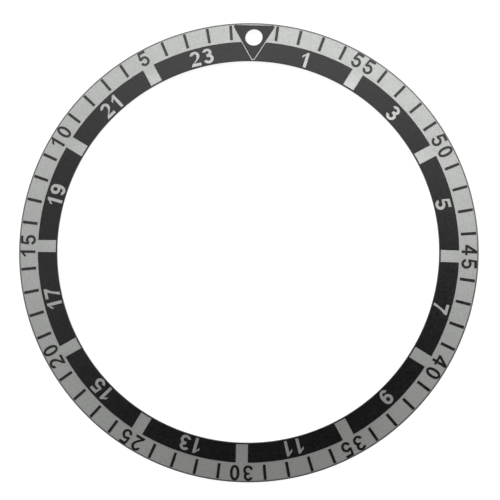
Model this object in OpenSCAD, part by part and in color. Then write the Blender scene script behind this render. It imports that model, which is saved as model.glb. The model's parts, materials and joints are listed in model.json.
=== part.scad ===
// Countdown bezel insert for a diver's watch.
// A thin conical aluminium ring, highest at its opening, with dark printed marks on its
// sloping face and a ring of double-sided tape under its flat back. The minute track counts
// down clockwise from the triangle, and the dark hour band inside it shows the odd hours of
// a 24-hour dial as bare metal. Millimetres, +Z up, +Y towards the triangle, origin on the
// ring's axis at the underside of the tape.

/* [Ring] */
// Outer diameter of the ring
outer_d = 38; // [34:0.1:43]
// Diameter of the opening
opening_d = 31.5; // [24:0.1:35.5]
// Height of the outer wall, from the flat back to the edge of the face
outer_wall_h = 0.45; // [0.3:0.05:1.5]
// How much higher the face is at the opening than at the outer edge
face_rise = 0.5; // [0.1:0.05:1.5]
// Width of the bevel round the top outer edge
outer_bevel = 0.11; // [0.02:0.01:0.25]
// Width of the bevel round the top inner edge
inner_bevel = 0.03; // [0.01:0.01:0.1]
// Width of the broken edges of the flat back
back_bevel = 0.05; // [0.01:0.01:0.12]

/* [Tape] */
// Thickness of the double-sided tape
tape_t = 0.1; // [0.05:0.01:0.3]
// How far the tape stays inside the ring's outer edge
tape_outer_margin = 0.21; // [0.1:0.01:0.3]
// How far the tape stays outside the ring's opening
tape_inner_margin = 0.25; // [0.1:0.01:0.6]
// Clearance between the hole in the tape and the lume pip's hole
tape_hole_clearance = 0.18; // [0.12:0.01:0.28]

/* [Rows of print] */
// These five widths, from the outer bevel to the inner one, add up to the real face's. On
// a wider or narrower face the rows share it in the same proportion.
// Gap between the outer bevel and the outer ends of the minute marks
mark_inset = 0.07; // [0.02:0.01:0.2]
// Length of a minute mark
mark_l = 1.22; // [0.9:0.01:1.6]
// Bare gap between the minute marks and the hour band
band_gap = 0.226; // [0.1:0.002:0.4]
// Width of the hour band
band_w = 1.504; // [1.35:0.002:2]
// Width of the dark line along the opening
inner_line_w = 0.09; // [0.05:0.01:0.2]

/* [Triangle and pip hole] */
// Diameter of the hole for the lume pip
pip_hole_d = 1.45; // [0.6:0.05:1.6]
// Distance from the outer bevel to the centre of the pip hole
pip_inset = 1.1; // [1:0.01:1.2]
// Gap between the triangle's outer corners, before they are rounded, and the minute marks
triangle_side_gap = 0.1; // [0.05:0.01:0.3]
// Distance from the outer bevel to the triangle's base
triangle_inset = 0.1; // [0.09:0.01:0.2]
// Distance from the inner bevel to the rounded point of the triangle
triangle_tip_inset = 0.13; // [0.12:0.01:0.2]
// Radius of the triangle's three corners
triangle_corner_r = 0.12; // [0.06:0.01:0.15]
// Width of the bare line between the triangle and the hour band
triangle_line_w = 0.085; // [0.05:0.005:0.1]

/* [Minute track] */
// Width of a minute mark
mark_w = 0.205; // [0.1:0.005:0.3]
// Height of the minute numerals
minute_h = 1.26; // [0.8:0.01:1.26]
// Width of most digits of the minute numerals
minute_digit_w = 0.78; // [0.6:0.01:0.85]
// Width of a stroke of the minute numerals
minute_stroke = 0.175; // [0.12:0.005:0.2]
// Gap between the two digits of a minute numeral
minute_gap = 0.335; // [0.15:0.005:0.4]
// Height of the minute numerals' feet above the inner ends of the minute marks
minute_lift = -0.013; // [-0.03:0.001:0.1]

/* [Hour band] */
// Width of a bare bar between two hour fields
bar_w = 1.01; // [0.5:0.01:1.6]
// Height of the hour numerals
hour_h = 1.28; // [0.9:0.01:1.4]
// Width of most digits of the hour numerals
hour_digit_w = 0.875; // [0.7:0.005:1]
// Width of a stroke of the hour numerals
hour_stroke = 0.25; // [0.15:0.005:0.28]
// Gap between the two digits of an hour numeral
hour_gap = 0.22; // [0.15:0.01:0.4]
// Height of the hour numerals' feet above the dark line along the opening
hour_lift = 0.03; // [0.02:0.01:0.1]

/* [Print] */
// Extra gap on the side of a digit 1 that faces another digit
one_gap = 0.11; // [0:0.01:0.2]
// Thickness of the printed marks
print_t = 0.025; // [0.01:0.005:0.06]

/* [Hidden] */
$fn = 96;

// Each odd hour has a field, and each fifth minute but the one at the triangle a numeral
HOURS = [1, 3, 5, 7, 9, 11, 13, 15, 17, 19, 21, 23];
MINUTES = [5, 10, 15, 20, 25, 30, 35, 40, 45, 50, 55];
hours_round = 2 * len(HOURS);
minutes_per_numeral = MINUTES[0];
minutes_round = minutes_per_numeral * (len(MINUTES) + 1);
hour_angle = 360 / hours_round;
minute_angle = 360 / minutes_round;

// Widths of the narrow 1, the nought and the 4 over that of most digits
one_ratio = 0.61;
nought_ratio = 0.955;
four_ratio = 1.06;
// A level stroke of a digit over an upright one
flat_ratio = 0.92;
// Squareness of the oval of a nought, 1 for an ellipse, and the number of its points
oval_power = 0.93;
oval_steps = 44;

outer_r = outer_d / 2;
opening_r = opening_d / 2;
back_z = tape_t;
face_edge_z = back_z + outer_wall_h;
slope = face_rise / (outer_r - opening_r);

// The face between its bevels, and how much wider it is than the rows of print as listed.
// The pip hole and the tape shrink with a narrower face and keep their size on a wider one.
face_outer_r = outer_r - outer_bevel;
face_inner_r = opening_r + inner_bevel;
rows_w = mark_inset + mark_l + band_gap + band_w + inner_line_w;
stretch = (face_outer_r - face_inner_r) / rows_w;
shrink = min(1, stretch);

mark_outer_r = face_outer_r - stretch * mark_inset;
mark_inner_r = mark_outer_r - stretch * mark_l;
minute_base_r = mark_inner_r + stretch * minute_lift;
band_outer_r = mark_inner_r - stretch * band_gap;
band_inner_r = face_inner_r + stretch * inner_line_w;
hour_base_r = band_inner_r + stretch * hour_lift;

pip_r = face_outer_r - stretch * pip_inset;
pip_hole_r = shrink * pip_hole_d / 2;
tape_hole_r = pip_hole_r + shrink * tape_hole_clearance;
triangle_line = shrink * triangle_line_w;
triangle_base_r = face_outer_r - stretch * triangle_inset;
// Centre of the arc at the triangle's point
triangle_point_y = face_inner_r + stretch * triangle_tip_inset + triangle_corner_r;
// The outer corners keep their gap from the straight sides of the marks beside them
triangle_half_w =
    triangle_base_r * tan(minute_angle) - (mark_w / 2 + triangle_side_gap) / cos(minute_angle);
// A side runs from the unrounded outer corner and touches the arc at the point
triangle_reach = [triangle_half_w, triangle_base_r - triangle_point_y];
triangle_half_angle =
    atan(triangle_reach[0] / triangle_reach[1]) - asin(triangle_corner_r / norm(triangle_reach));

// Depth of a cutting or intersecting shape, more than the whole height of the ring
through_h = 4 * (tape_t + outer_wall_h + face_rise);

function two_digits(n) = str(n < 10 ? "0" : "", n);
function field_name(hour) = str("hour_field_", two_digits(hour));
function numeral_name(minutes) = str("minute_numeral_", two_digits(minutes));

// Height of the sloping face at a distance from the axis
function face_z(r) = face_edge_z + slope * (outer_r - r);

// Cosine or sine v drawn out to an oval with squarer shoulders
function squared(v) = sign(v) * pow(abs(v), oval_power);

// Points of an elliptical arc round c with radii r, from angle a0 to angle a1
function arc(c, r, a0, a1, n) = [
    for (i = [0:n])
        let (a = a0 + (a1 - a0) * i / n)
            [c[0] + r[0] * cos(a), c[1] + r[1] * sin(a)]
];

// Points of a closed oval round c with radii r
function oval(c, r) = [
    for (i = [0:oval_steps - 1])
        let (a = 360 * i / oval_steps)
            [c[0] + r[0] * squared(cos(a)), c[1] + r[1] * squared(sin(a))]
];

// Points of a curve from p to r that is drawn towards q, without p itself
function bend(p, q, r, n) = [
    for (i = [1:n])
        let (t = i / n)
            (1 - t) * (1 - t) * p + 2 * t * (1 - t) * q + t * t * r
];

// Radii of an oval a stroke further in
function inside(r, s) = [r[0] - s, r[1] - flat_ratio * s];

// Each digit fills a box w wide and h high with strokes of width s, its lower left corner
// at the origin.
module digit_0(w, h, s) {
    c = [w / 2, h / 2];
    difference() {
        polygon(oval(c, c));
        polygon(oval(c, inside(c, s)));
    }
}

module digit_1(w, h, s) {
    top = [w - 0.72 * s, h];
    flag = [0, 0.755 * h];
    polygon(concat(
        [[w - s, 0], [w, 0], [w, h], top],
        bend(top, [w - 1.25 * s, 0.85 * h], flag, 6),
        [[0, 0.755 * h - 0.95 * s], [w - s, 0.775 * h]]
    ));
}

module digit_2(w, h, s) {
    r = [0.475 * w, 0.3 * h];
    c = [0.51 * w, h - r[1]];
    bowl = arc(c, r, -22, 176, 18);
    hollow = arc(c, inside(r, s), 168, -30, 16);
    knee = [0.36 * w, s];
    hip = [0.16 * w, 0.2 * h];
    polygon(concat(
        [[0, 0], [w, 0], [w, s], knee],
        bend(knee, [0.86 * w, 0.42 * h], bowl[0], 8),
        bowl,
        hollow,
        bend(hollow[16], [0.72 * w, 0.46 * h], hip, 8),
        bend(hip, [0.03 * w, 0.1 * h], [0, 0.01 * h], 5)
    ));
}

module digit_3(w, h, s) {
    upper_r = [0.46 * w, 0.275 * h];
    lower_r = [0.5 * w, 0.31 * h];
    upper_c = [0.47 * w, h - upper_r[1]];
    lower_c = [0.5 * w, lower_r[1]];
    waist = 0.53 * h;
    upper_hollow = arc(upper_c, inside(upper_r, s), -86, 163, 16);
    lower_hollow = arc(lower_c, inside(lower_r, s), -166, 88, 18);
    polygon(concat(
        arc(upper_c, upper_r, 165, -asin((upper_c[1] - waist) / upper_r[1]), 18),
        arc(lower_c, lower_r, asin((waist - lower_c[1]) / lower_r[1]), -168, 20),
        lower_hollow,
        [[0.36 * w, lower_hollow[18][1]], [0.36 * w, upper_hollow[0][1]]],
        upper_hollow
    ));
}

module digit_4(w, h, s) {
    stem_x = 0.8 * w;
    bar_y = 0.235 * h;
    bar_top = bar_y + 0.88 * s;
    peak_x = stem_x - s - 0.02 * w;
    rise = (h - bar_top) / peak_x;
    lean = 0.98 * s * norm([1, rise]) / rise;
    difference() {
        polygon([
            [stem_x - s, 0], [stem_x, 0], [stem_x, bar_y], [w, bar_y], [w, bar_top],
            [stem_x, bar_top], [stem_x, h], [peak_x, h], [0, bar_top], [0, bar_y],
            [stem_x - s, bar_y]
        ]);
        polygon([
            [stem_x - s, bar_top],
            [stem_x - s, bar_top + (stem_x - s - lean) * rise],
            [lean, bar_top]
        ]);
    }
}

module digit_5(w, h, s) {
    r = [0.5 * w, 0.325 * h];
    polygon(concat(
        arc(r, r, -168, 122, 24),
        [
            [0.245 * w + 0.28 * s, h - s], [0.92 * w, h - s], [0.92 * w, h],
            [0.15 * w, h], [0.02 * w, 0.475 * h], [0.04 * w + s, 0.45 * h]
        ],
        arc(r, inside(r, s), 142, -166, 22)
    ));
}

module digit_7(w, h, s) {
    corner = [w, h - 0.8 * s];
    foot = [0.44 * w, 0];
    heel = [0.44 * w - 1.04 * s, 0];
    polygon(concat(
        [[0, h - s], [0, h], [w, h], corner],
        bend(corner, [0.58 * w, 0.53 * h], foot, 10),
        [heel],
        bend(heel, [0.4 * w, 0.48 * h], [w - 1.32 * s, h - s], 10)
    ));
}

module digit_9(w, h, s) {
    bowl_r = [0.49 * w, 0.325 * h];
    bowl_c = [bowl_r[0], h - bowl_r[1]];
    back_r = [0.5 * w, 0.5 * h];
    tail_r = [0.47 * w, 0.3 * h];
    tail_c = [0.5 * w, tail_r[1]];
    difference() {
        polygon(concat(
            arc(bowl_c, bowl_r, 180, 20, 16),
            arc(back_r, back_r, 12, -90, 12),
            arc(tail_c, tail_r, -98, -166, 8),
            arc(tail_c, inside(tail_r, s), -164, -90, 8),
            arc(back_r, inside(back_r, s), -84, -22, 7),
            arc(bowl_c, bowl_r, -62, -176, 13)
        ));
        polygon(arc(bowl_c, inside(bowl_r, s), 0, 350, 35));
    }
}

// Width of a digit, where most are w wide
function digit_w(d, w) = w * (d == 0 ? nought_ratio : d == 1 ? one_ratio : d == 4 ? four_ratio : 1);

// A digit with its lower left corner at the origin, where most digits are w wide
module digit(d, w, h, s) {
    own_w = digit_w(d, w);
    if (d == 0) digit_0(own_w, h, s);
    if (d == 1) digit_1(own_w, h, s);
    if (d == 2) digit_2(own_w, h, s);
    if (d == 3) digit_3(own_w, h, s);
    if (d == 4) digit_4(own_w, h, s);
    if (d == 5) digit_5(own_w, h, s);
    if (d == 7) digit_7(own_w, h, s);
    if (d == 9) digit_9(own_w, h, s);
}

// A number of one or two digits, centred, its foot on the X axis. Its sizes are for the
// real face and stretch with it.
module number(n, w, h, s, gap) {
    tens = floor(n / 10);
    units = n % 10;
    units_w = digit_w(units, w);
    scale(stretch) {
        if (n < 10) {
            translate([-units_w / 2, 0]) digit(units, w, h, s);
        } else {
            tens_w = digit_w(tens, w);
            room = gap + one_gap * ((tens == 1 ? 1 : 0) + (units == 1 ? 1 : 0));
            left = -(tens_w + room + units_w) / 2;
            translate([left, 0]) digit(tens, w, h, s);
            translate([left + tens_w + room, 0]) digit(units, w, h, s);
        }
    }
}

// Turns what stands at the triangle's place clockwise by an angle
module at_angle(a) {
    rotate([0, 0, -a]) children();
}

// Lays a flat shape on the sloping face as a film of ink. The film follows the cone.
module printed() {
    intersection() {
        linear_extrude(through_h) children();
        film();
    }
}

// The layer of the thickness of the print all over the face
module film() {
    inner_z = face_z(face_inner_r);
    outer_z = face_z(face_outer_r);
    rotate_extrude()
        polygon([
            [face_inner_r, inner_z], [face_outer_r, outer_z],
            [face_outer_r, outer_z + print_t], [face_inner_r, inner_z + print_t]
        ]);
}

// Piece of a flat ring between two radii and two angles, clockwise from the triangle
module sector(r0, r1, a0, a1) {
    reach = 1.2 * r1;
    intersection() {
        difference() {
            circle(r1);
            circle(r0);
        }
        polygon([
            [0, 0], [reach * sin(a0), reach * cos(a0)], [reach * sin(a1), reach * cos(a1)]
        ]);
    }
}

// The triangle with its point towards the opening and its three corners rounded, drawn
// larger all round by a margin. With one, it keeps the hour band off the triangle.
module triangle(margin = 0) {
    corner_x = triangle_half_w - triangle_corner_r / tan(45 - triangle_half_angle / 2);
    corner_y = triangle_base_r - triangle_corner_r;
    r = triangle_corner_r + margin;
    polygon(concat(
        arc([corner_x, corner_y], [r, r], -triangle_half_angle, 90, 6),
        arc([-corner_x, corner_y], [r, r], 90, 180 + triangle_half_angle, 6),
        arc([0, triangle_point_y], [r, r], 180 + triangle_half_angle, 360 - triangle_half_angle, 8)
    ));
}

module pip_hole() {
    translate([0, pip_r]) circle(pip_hole_r);
}

// Parallel-sided strip from the axis outwards that stays bare across the hour band
module bare_bar() {
    translate([-bar_w / 2, 0]) square([bar_w, outer_r]);
}

// Flat shape of one hour field with its numeral left bare. It runs from the even hour
// before its own to the one after. The triangle stands where the last of these would be.
module hour_field_shape(hour) {
    difference() {
        sector(band_inner_r, band_outer_r, (hour - 1) * hour_angle, (hour + 1) * hour_angle);
        for (bar = [hour - 1, hour + 1])
            if (bar % hours_round != 0) at_angle(bar * hour_angle) bare_bar();
        at_angle(hour * hour_angle)
            translate([0, hour_base_r])
                number(hour, hour_digit_w, hour_h, hour_stroke, hour_gap);
        triangle(triangle_line);
    }
}

module hour_field(hour) {
    color([0.16, 0.16, 0.16]) printed() hour_field_shape(hour);
}

module minute_numeral(minutes) {
    color([0.13, 0.14, 0.13])
        printed()
            at_angle(-minutes * minute_angle)
                translate([0, minute_base_r])
                    number(minutes, minute_digit_w, minute_h, minute_stroke, minute_gap);
}

module minute_marks() {
    color([0.13, 0.14, 0.13])
        for (i = [0:minutes_round - 1])
            if (i % minutes_per_numeral != 0)
                printed()
                    at_angle(i * minute_angle)
                        translate([-mark_w / 2, mark_inner_r])
                            square([mark_w, mark_outer_r - mark_inner_r]);
}

module triangle_mark() {
    color([0.15, 0.15, 0.15])
        printed()
            difference() {
                triangle();
                pip_hole();
            }
}

module inner_edge_line() {
    color([0.14, 0.14, 0.14])
        printed()
            difference() {
                circle(band_inner_r);
                circle(opening_r);
                triangle(triangle_line);
            }
}

// Conical ring with a flat back. Its section is turned once round the axis.
module insert_ring() {
    color([0.72, 0.73, 0.71])
        difference() {
            rotate_extrude()
                polygon([
                    [opening_r, back_z + back_bevel],
                    [opening_r + back_bevel, back_z],
                    [outer_r - back_bevel, back_z],
                    [outer_r, back_z + back_bevel],
                    [outer_r, face_z(face_outer_r) - outer_bevel],
                    [face_outer_r, face_z(face_outer_r)],
                    [face_inner_r, face_z(face_inner_r)],
                    [opening_r, face_z(face_inner_r) - inner_bevel]
                ]);
            linear_extrude(through_h) pip_hole();
        }
}

// Double-sided tape under the flat back, with a hole round the pip's
module adhesive_ring() {
    color([0.9, 0.88, 0.8])
        linear_extrude(tape_t)
            difference() {
                circle(outer_r - shrink * tape_outer_margin);
                circle(opening_r + shrink * tape_inner_margin);
                translate([0, pip_r]) circle(tape_hole_r);
            }
}

insert_ring();
adhesive_ring();
inner_edge_line();
triangle_mark();
minute_marks();
for (hour = HOURS)
    hour_field(hour);
for (minutes = MINUTES)
    minute_numeral(minutes);
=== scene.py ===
"""Detailed look of a watch bezel insert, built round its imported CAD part.

The ring, its tape and every field of print are meshes computed here from a few sizes.
Each one stands for the CAD node of the same place and rides on the part's only body.
Lengths inside the mesh functions are in millimetres, and angles run clockwise from +Y
in degrees, as on the insert. Objects are in metres.
"""

import json
import math
from functools import partialmethod

import bpy
import numpy as np
from mathutils import Matrix, Vector
from mathutils.geometry import delaunay_2d_cdt


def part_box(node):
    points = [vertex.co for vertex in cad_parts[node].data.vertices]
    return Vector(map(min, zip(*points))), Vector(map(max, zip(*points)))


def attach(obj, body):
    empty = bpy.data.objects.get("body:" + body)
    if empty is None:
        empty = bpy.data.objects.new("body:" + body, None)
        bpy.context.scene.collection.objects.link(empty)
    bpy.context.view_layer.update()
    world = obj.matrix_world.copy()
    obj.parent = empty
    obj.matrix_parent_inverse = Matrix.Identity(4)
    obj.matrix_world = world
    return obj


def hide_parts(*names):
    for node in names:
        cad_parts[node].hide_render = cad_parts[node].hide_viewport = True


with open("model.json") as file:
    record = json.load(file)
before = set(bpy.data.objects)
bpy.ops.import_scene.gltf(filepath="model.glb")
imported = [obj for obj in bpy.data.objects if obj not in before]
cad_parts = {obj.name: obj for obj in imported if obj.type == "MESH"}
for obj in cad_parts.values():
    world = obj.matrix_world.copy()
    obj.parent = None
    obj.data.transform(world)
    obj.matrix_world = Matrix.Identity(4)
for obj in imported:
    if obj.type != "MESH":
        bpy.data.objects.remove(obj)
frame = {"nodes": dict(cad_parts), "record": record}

bl_info = {
    "name": "Watch Bezel Insert",
    "version": (1, 0, 0),
    "blender": (4, 5, 0),
    "location": "View3D > Sidebar > Bezel Insert",
    "description": "Builds the detailed look of a watch bezel insert round its CAD part",
    "category": "Add Mesh",
}

MM = 0.001
BODY = "root"


# Sizes read from the frame


def node_radii(node):
    """Least and greatest distance of a CAD node's points from the axis, in millimetres."""
    mesh = frame["nodes"][node].data
    co = np.empty(len(mesh.vertices) * 3, np.float32)
    mesh.vertices.foreach_get("co", co)
    x, y, _ = co.reshape(-1, 3).T.astype(float) / MM
    r = np.hypot(x, y)
    return float(r.min()), float(r.max())


def node_heights(node):
    """Lowest and highest point of a CAD node, in millimetres."""
    lo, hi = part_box(node)
    return lo.z / MM, hi.z / MM


def numbered(prefix):
    """Numbers of the CAD nodes whose names are a prefix and two digits."""
    return sorted(int(name[-2:]) for name in frame["nodes"] if name.startswith(prefix))


def mount(name):
    """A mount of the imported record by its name."""
    return next(m for m in frame["record"]["mounts"] if m["name"] == name)


HOURS = numbered("hour_field_")
MINUTES = numbered("minute_numeral_")
HOURS_ROUND = 2 * len(HOURS)
MINUTES_PER_NUMERAL = MINUTES[0]
MINUTES_ROUND = MINUTES_PER_NUMERAL * (len(MINUTES) + 1)
HOUR_ANGLE = 360 / HOURS_ROUND
MINUTE_ANGLE = 360 / MINUTES_ROUND

OPENING_R, OUTER_R = node_radii("insert_ring")
BACK_Z, TOP_Z = node_heights("insert_ring")
TAPE_INNER_R, TAPE_OUTER_R = node_radii("adhesive_ring")
TAPE_T = node_heights("adhesive_ring")[1]
FACE_INNER_R, BAND_INNER_R = node_radii("inner_edge_line")
BAND_OUTER_R = node_radii("hour_field_05")[1]
PRINT_T = node_heights("inner_edge_line")[1] - TOP_Z
PIP_R = mount("pip_hole")["pos_m"][1] / MM
PIP_HOLE_R = mount("pip_hole")["dims"]["r_mm"]

# Driving sizes that the frame's points don't give
OUTER_BEVEL = 0.11
BACK_BEVEL = 0.05
MARK_L = 1.22
MARK_W = 0.205
MARK_INSET = 0.07
BAR_W = 1.01
HOUR_LIFT = 0.012
MINUTE_LIFT = 0.0
TAPE_HOLE_CLEARANCE = 0.18
TRIANGLE_INSET = 0.1
TRIANGLE_TIP_INSET = 0.13
TRIANGLE_SIDE_GAP = 0.1
TRIANGLE_CORNER_R = 0.12
TRIANGLE_LINE_W = 0.085

FACE_OUTER_R = OUTER_R - OUTER_BEVEL
SLOPE = (TOP_Z - node_heights("hour_field_05")[0]) / (BAND_OUTER_R - FACE_INNER_R)
SLOPE_ANGLE = math.atan(SLOPE)
MARK_OUTER_R = FACE_OUTER_R - MARK_INSET
MARK_INNER_R = MARK_OUTER_R - MARK_L
TRIANGLE_BASE_R = FACE_OUTER_R - TRIANGLE_INSET
TRIANGLE_POINT_Y = FACE_INNER_R + TRIANGLE_TIP_INSET + TRIANGLE_CORNER_R
TRIANGLE_L = TRIANGLE_BASE_R - TRIANGLE_POINT_Y
MINUTE_TURN = math.radians(MINUTE_ANGLE)
TRIANGLE_HALF_W = TRIANGLE_BASE_R * math.tan(MINUTE_TURN) - (
    MARK_W / 2 + TRIANGLE_SIDE_GAP
) / math.cos(MINUTE_TURN)
TRIANGLE_HALF_ANGLE = math.atan2(TRIANGLE_HALF_W, TRIANGLE_L) - math.asin(
    TRIANGLE_CORNER_R / math.hypot(TRIANGLE_HALF_W, TRIANGLE_L)
)

# Fineness of the meshes
RING_STEPS = 720
FACE_ROWS = 12
PATCH_STEPS = 9
HOLE_STEPS = 96
FILLET_STEPS = 4
TAPE_ROWS = 4
MARK_STEPS = 6
FLAT_GRID = 0.24
GRID_CLEARANCE = FLAT_GRID * 0.3
HALO_CLEARANCE = 0.06
ARC_STEP = 0.5
WELD = 1e-5
SNAP = 1e-6
# Twice the area under which a triangle is no more than a line
NO_AREA = 1e-7
# Least half square of the sum of two unit normals, which keeps a sharp corner short
MITRE = 0.35

TINY = 1e-9

# Fine rings of points round a hole, and the first coarse ones, over the hole's radius
HALO_RATIO = 1.12
GRID_RATIO = 1.2
TAPE_GRID_RATIO = 1.1
# The tape's loops are drawn with chords, which pass a little inside their circles
RING_SLACK = 0.9999
HOLE_SLACK = 0.999
# Rounding of the tape's edges over its thickness, and the thin line's rise over the print's
TAPE_EDGE_RATIO = 0.12
LINE_RISE_RATIO = 0.9
# Rim of the ink: share of its width, share of its rise and tilt of its normal
INK_RIM = ((0, 0, 0), (0.3, 0.62, 35), (1, 1, 90))


def face_z(r):
    """Height of the sloping face at a distance from the axis. It falls evenly outwards."""
    return TOP_Z - SLOPE * (r - FACE_INNER_R)


# Flat outlines. A digit is a list of closed loops of points, the outer loop first.

FLAT_RATIO = 0.92
OVAL_POWER = 0.93
ONE_RATIO = 0.61
NOUGHT_RATIO = 0.955
FOUR_RATIO = 1.06


def arc(c, r, a0, a1, n):
    """Points of an elliptical arc round c with radii r, in n steps from angle a0 to a1."""
    a = np.radians(np.linspace(a0, a1, n + 1))
    return np.column_stack([c[0] + r[0] * np.cos(a), c[1] + r[1] * np.sin(a)])


def oval(c, r, n=88):
    """Closed oval: an ellipse whose cosine and sine are raised to a power below one."""
    a = np.radians(np.arange(n) * 360 / n)
    x = np.sign(np.cos(a)) * np.abs(np.cos(a)) ** OVAL_POWER
    y = np.sign(np.sin(a)) * np.abs(np.sin(a)) ** OVAL_POWER
    return np.column_stack([c[0] + r[0] * x, c[1] + r[1] * y])


def bend(p, q, r, n):
    """Points of the quadratic curve from p to r that is drawn towards q, without p."""
    t = np.linspace(0, 1, n + 1)[1:, None]
    return (1 - t) ** 2 * np.array(p) + 2 * t * (1 - t) * np.array(q) + t**2 * np.array(r)


def inner(r, s):
    """Radii of an oval that lies one stroke s further in."""
    return r[0] - s, r[1] - FLAT_RATIO * s


def digit_0(w, h, s):
    c = (w / 2, h / 2)
    return [oval(c, c), oval(c, inner(c, s))]


def digit_1(w, h, s):
    top, flag = (w - 0.72 * s, h), (0, 0.755 * h)
    return [
        np.vstack([
            [(w - s, 0), (w, 0), (w, h), top],
            bend(top, (w - 1.25 * s, 0.85 * h), flag, 12),
            [(0, 0.755 * h - 0.95 * s), (w - s, 0.775 * h)],
        ])
    ]


def digit_2(w, h, s):
    r = (0.475 * w, 0.3 * h)
    c = (0.51 * w, h - r[1])
    bowl, hollow = arc(c, r, -22, 176, 36), arc(c, inner(r, s), 168, -30, 32)
    knee, hip = (0.36 * w, s), (0.16 * w, 0.2 * h)
    return [
        np.vstack([
            [(0, 0), (w, 0), (w, s), knee],
            bend(knee, (0.86 * w, 0.42 * h), bowl[0], 16)[:-1],
            bowl,
            hollow,
            bend(hollow[-1], (0.72 * w, 0.46 * h), hip, 16),
            bend(hip, (0.03 * w, 0.1 * h), (0, 0.01 * h), 8),
        ])
    ]


def digit_3(w, h, s):
    upper_r, lower_r = (0.46 * w, 0.275 * h), (0.5 * w, 0.31 * h)
    upper_c, lower_c = (0.47 * w, h - upper_r[1]), (0.5 * w, lower_r[1])
    waist = 0.53 * h
    upper_end = -math.degrees(math.asin((upper_c[1] - waist) / upper_r[1]))
    lower_start = math.degrees(math.asin((waist - lower_c[1]) / lower_r[1]))
    upper_hollow = arc(upper_c, inner(upper_r, s), -86, 163, 32)
    lower_hollow = arc(lower_c, inner(lower_r, s), -166, 88, 36)
    return [
        np.vstack([
            arc(upper_c, upper_r, 165, upper_end, 36),
            arc(lower_c, lower_r, lower_start, -168, 40),
            lower_hollow,
            [(0.36 * w, lower_hollow[-1][1]), (0.36 * w, upper_hollow[0][1])],
            upper_hollow,
        ])
    ]


def digit_4(w, h, s):
    stem_x, bar_y = 0.8 * w, 0.235 * h
    bar_top = bar_y + 0.88 * s
    peak_x = stem_x - s - 0.02 * w
    rise = (h - bar_top) / peak_x
    lean = 0.98 * s * math.hypot(1, rise) / rise
    body = [
        (stem_x - s, 0), (stem_x, 0), (stem_x, bar_y), (w, bar_y), (w, bar_top),
        (stem_x, bar_top), (stem_x, h), (peak_x, h), (0, bar_top), (0, bar_y),
        (stem_x - s, bar_y),
    ]
    eye = [
        (stem_x - s, bar_top),
        (stem_x - s, bar_top + (stem_x - s - lean) * rise),
        (lean, bar_top),
    ]
    return [np.array(body), np.array(eye)]


def digit_5(w, h, s):
    r = (0.5 * w, 0.325 * h)
    return [
        np.vstack([
            arc(r, r, -168, 122, 48),
            [(0.245 * w + 0.28 * s, h - s), (0.92 * w, h - s), (0.92 * w, h)],
            [(0.15 * w, h), (0.02 * w, 0.475 * h), (0.04 * w + s, 0.45 * h)],
            arc(r, inner(r, s), 142, -166, 44),
        ])
    ]


def digit_7(w, h, s):
    corner, foot = (w, h - 0.8 * s), (0.44 * w, 0)
    heel = (0.44 * w - 1.04 * s, 0)
    return [
        np.vstack([
            [(0, h - s), (0, h), (w, h), corner],
            bend(corner, (0.58 * w, 0.53 * h), foot, 20),
            [heel],
            bend(heel, (0.4 * w, 0.48 * h), (w - 1.32 * s, h - s), 20),
        ])
    ]


def digit_9(w, h, s):
    bowl_r, back_r, tail_r = (0.49 * w, 0.325 * h), (0.5 * w, 0.5 * h), (0.47 * w, 0.3 * h)
    bowl_c, tail_c = (bowl_r[0], h - bowl_r[1]), (0.5 * w, tail_r[1])
    body = np.vstack([
        arc(bowl_c, bowl_r, 180, 20, 32),
        arc(back_r, back_r, 12, -90, 24),
        arc(tail_c, tail_r, -98, -166, 16),
        arc(tail_c, inner(tail_r, s), -164, -90, 16),
        arc(back_r, inner(back_r, s), -84, -26, 14),
        arc(bowl_c, bowl_r, -70, -176, 26),
    ])
    return [body, arc(bowl_c, inner(bowl_r, s), 0, 350, 70)]


DIGITS = {0: digit_0, 1: digit_1, 2: digit_2, 3: digit_3}
DIGITS |= {4: digit_4, 5: digit_5, 7: digit_7, 9: digit_9}
DIGIT_RATIO = {0: NOUGHT_RATIO, 1: ONE_RATIO, 4: FOUR_RATIO}


def number_loops(number, kind, foot_r, turn, p):
    """Loops of a number of one or two digits, its foot at a radius and turned clockwise.

    The digits stand side by side, a gap apart and further for each 1. kind is hour or
    minute, and picks their sizes.
    """
    w, h, s, gap, one_gap = (
        getattr(p, f"{kind}_{size}") / MM
        for size in ("width", "height", "stroke", "gap", "one_gap")
    )
    digits = [int(d) for d in str(number)]
    widths = [w * DIGIT_RATIO.get(d, 1) for d in digits]
    room = gap + one_gap * digits.count(1)
    left = -(sum(widths) + room * (len(digits) - 1)) / 2
    loops = []
    for digit, own_w in zip(digits, widths):
        loops += [turned(loop + [left, foot_r], turn) for loop in DIGITS[digit](own_w, h, s)]
        left += own_w + room
    return loops


def turned(points, angle):
    """Flat points turned clockwise round the axis by an angle in degrees."""
    a = math.radians(angle)
    x, y = points[..., 0], points[..., 1]
    turned_x = x * math.cos(a) + y * math.sin(a)
    turned_y = y * math.cos(a) - x * math.sin(a)
    return np.stack([turned_x, turned_y], axis=-1)


def ring_points(r, angles):
    """Points at a distance from the axis and at clockwise angles from +Y."""
    a = np.radians(angles)
    return np.stack([r * np.sin(a), r * np.cos(a)], axis=-1)


def circle(c, r, n):
    """Closed circle round a point."""
    return arc(c, (r, r), 0, 360 - 360 / n, n - 1)


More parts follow.
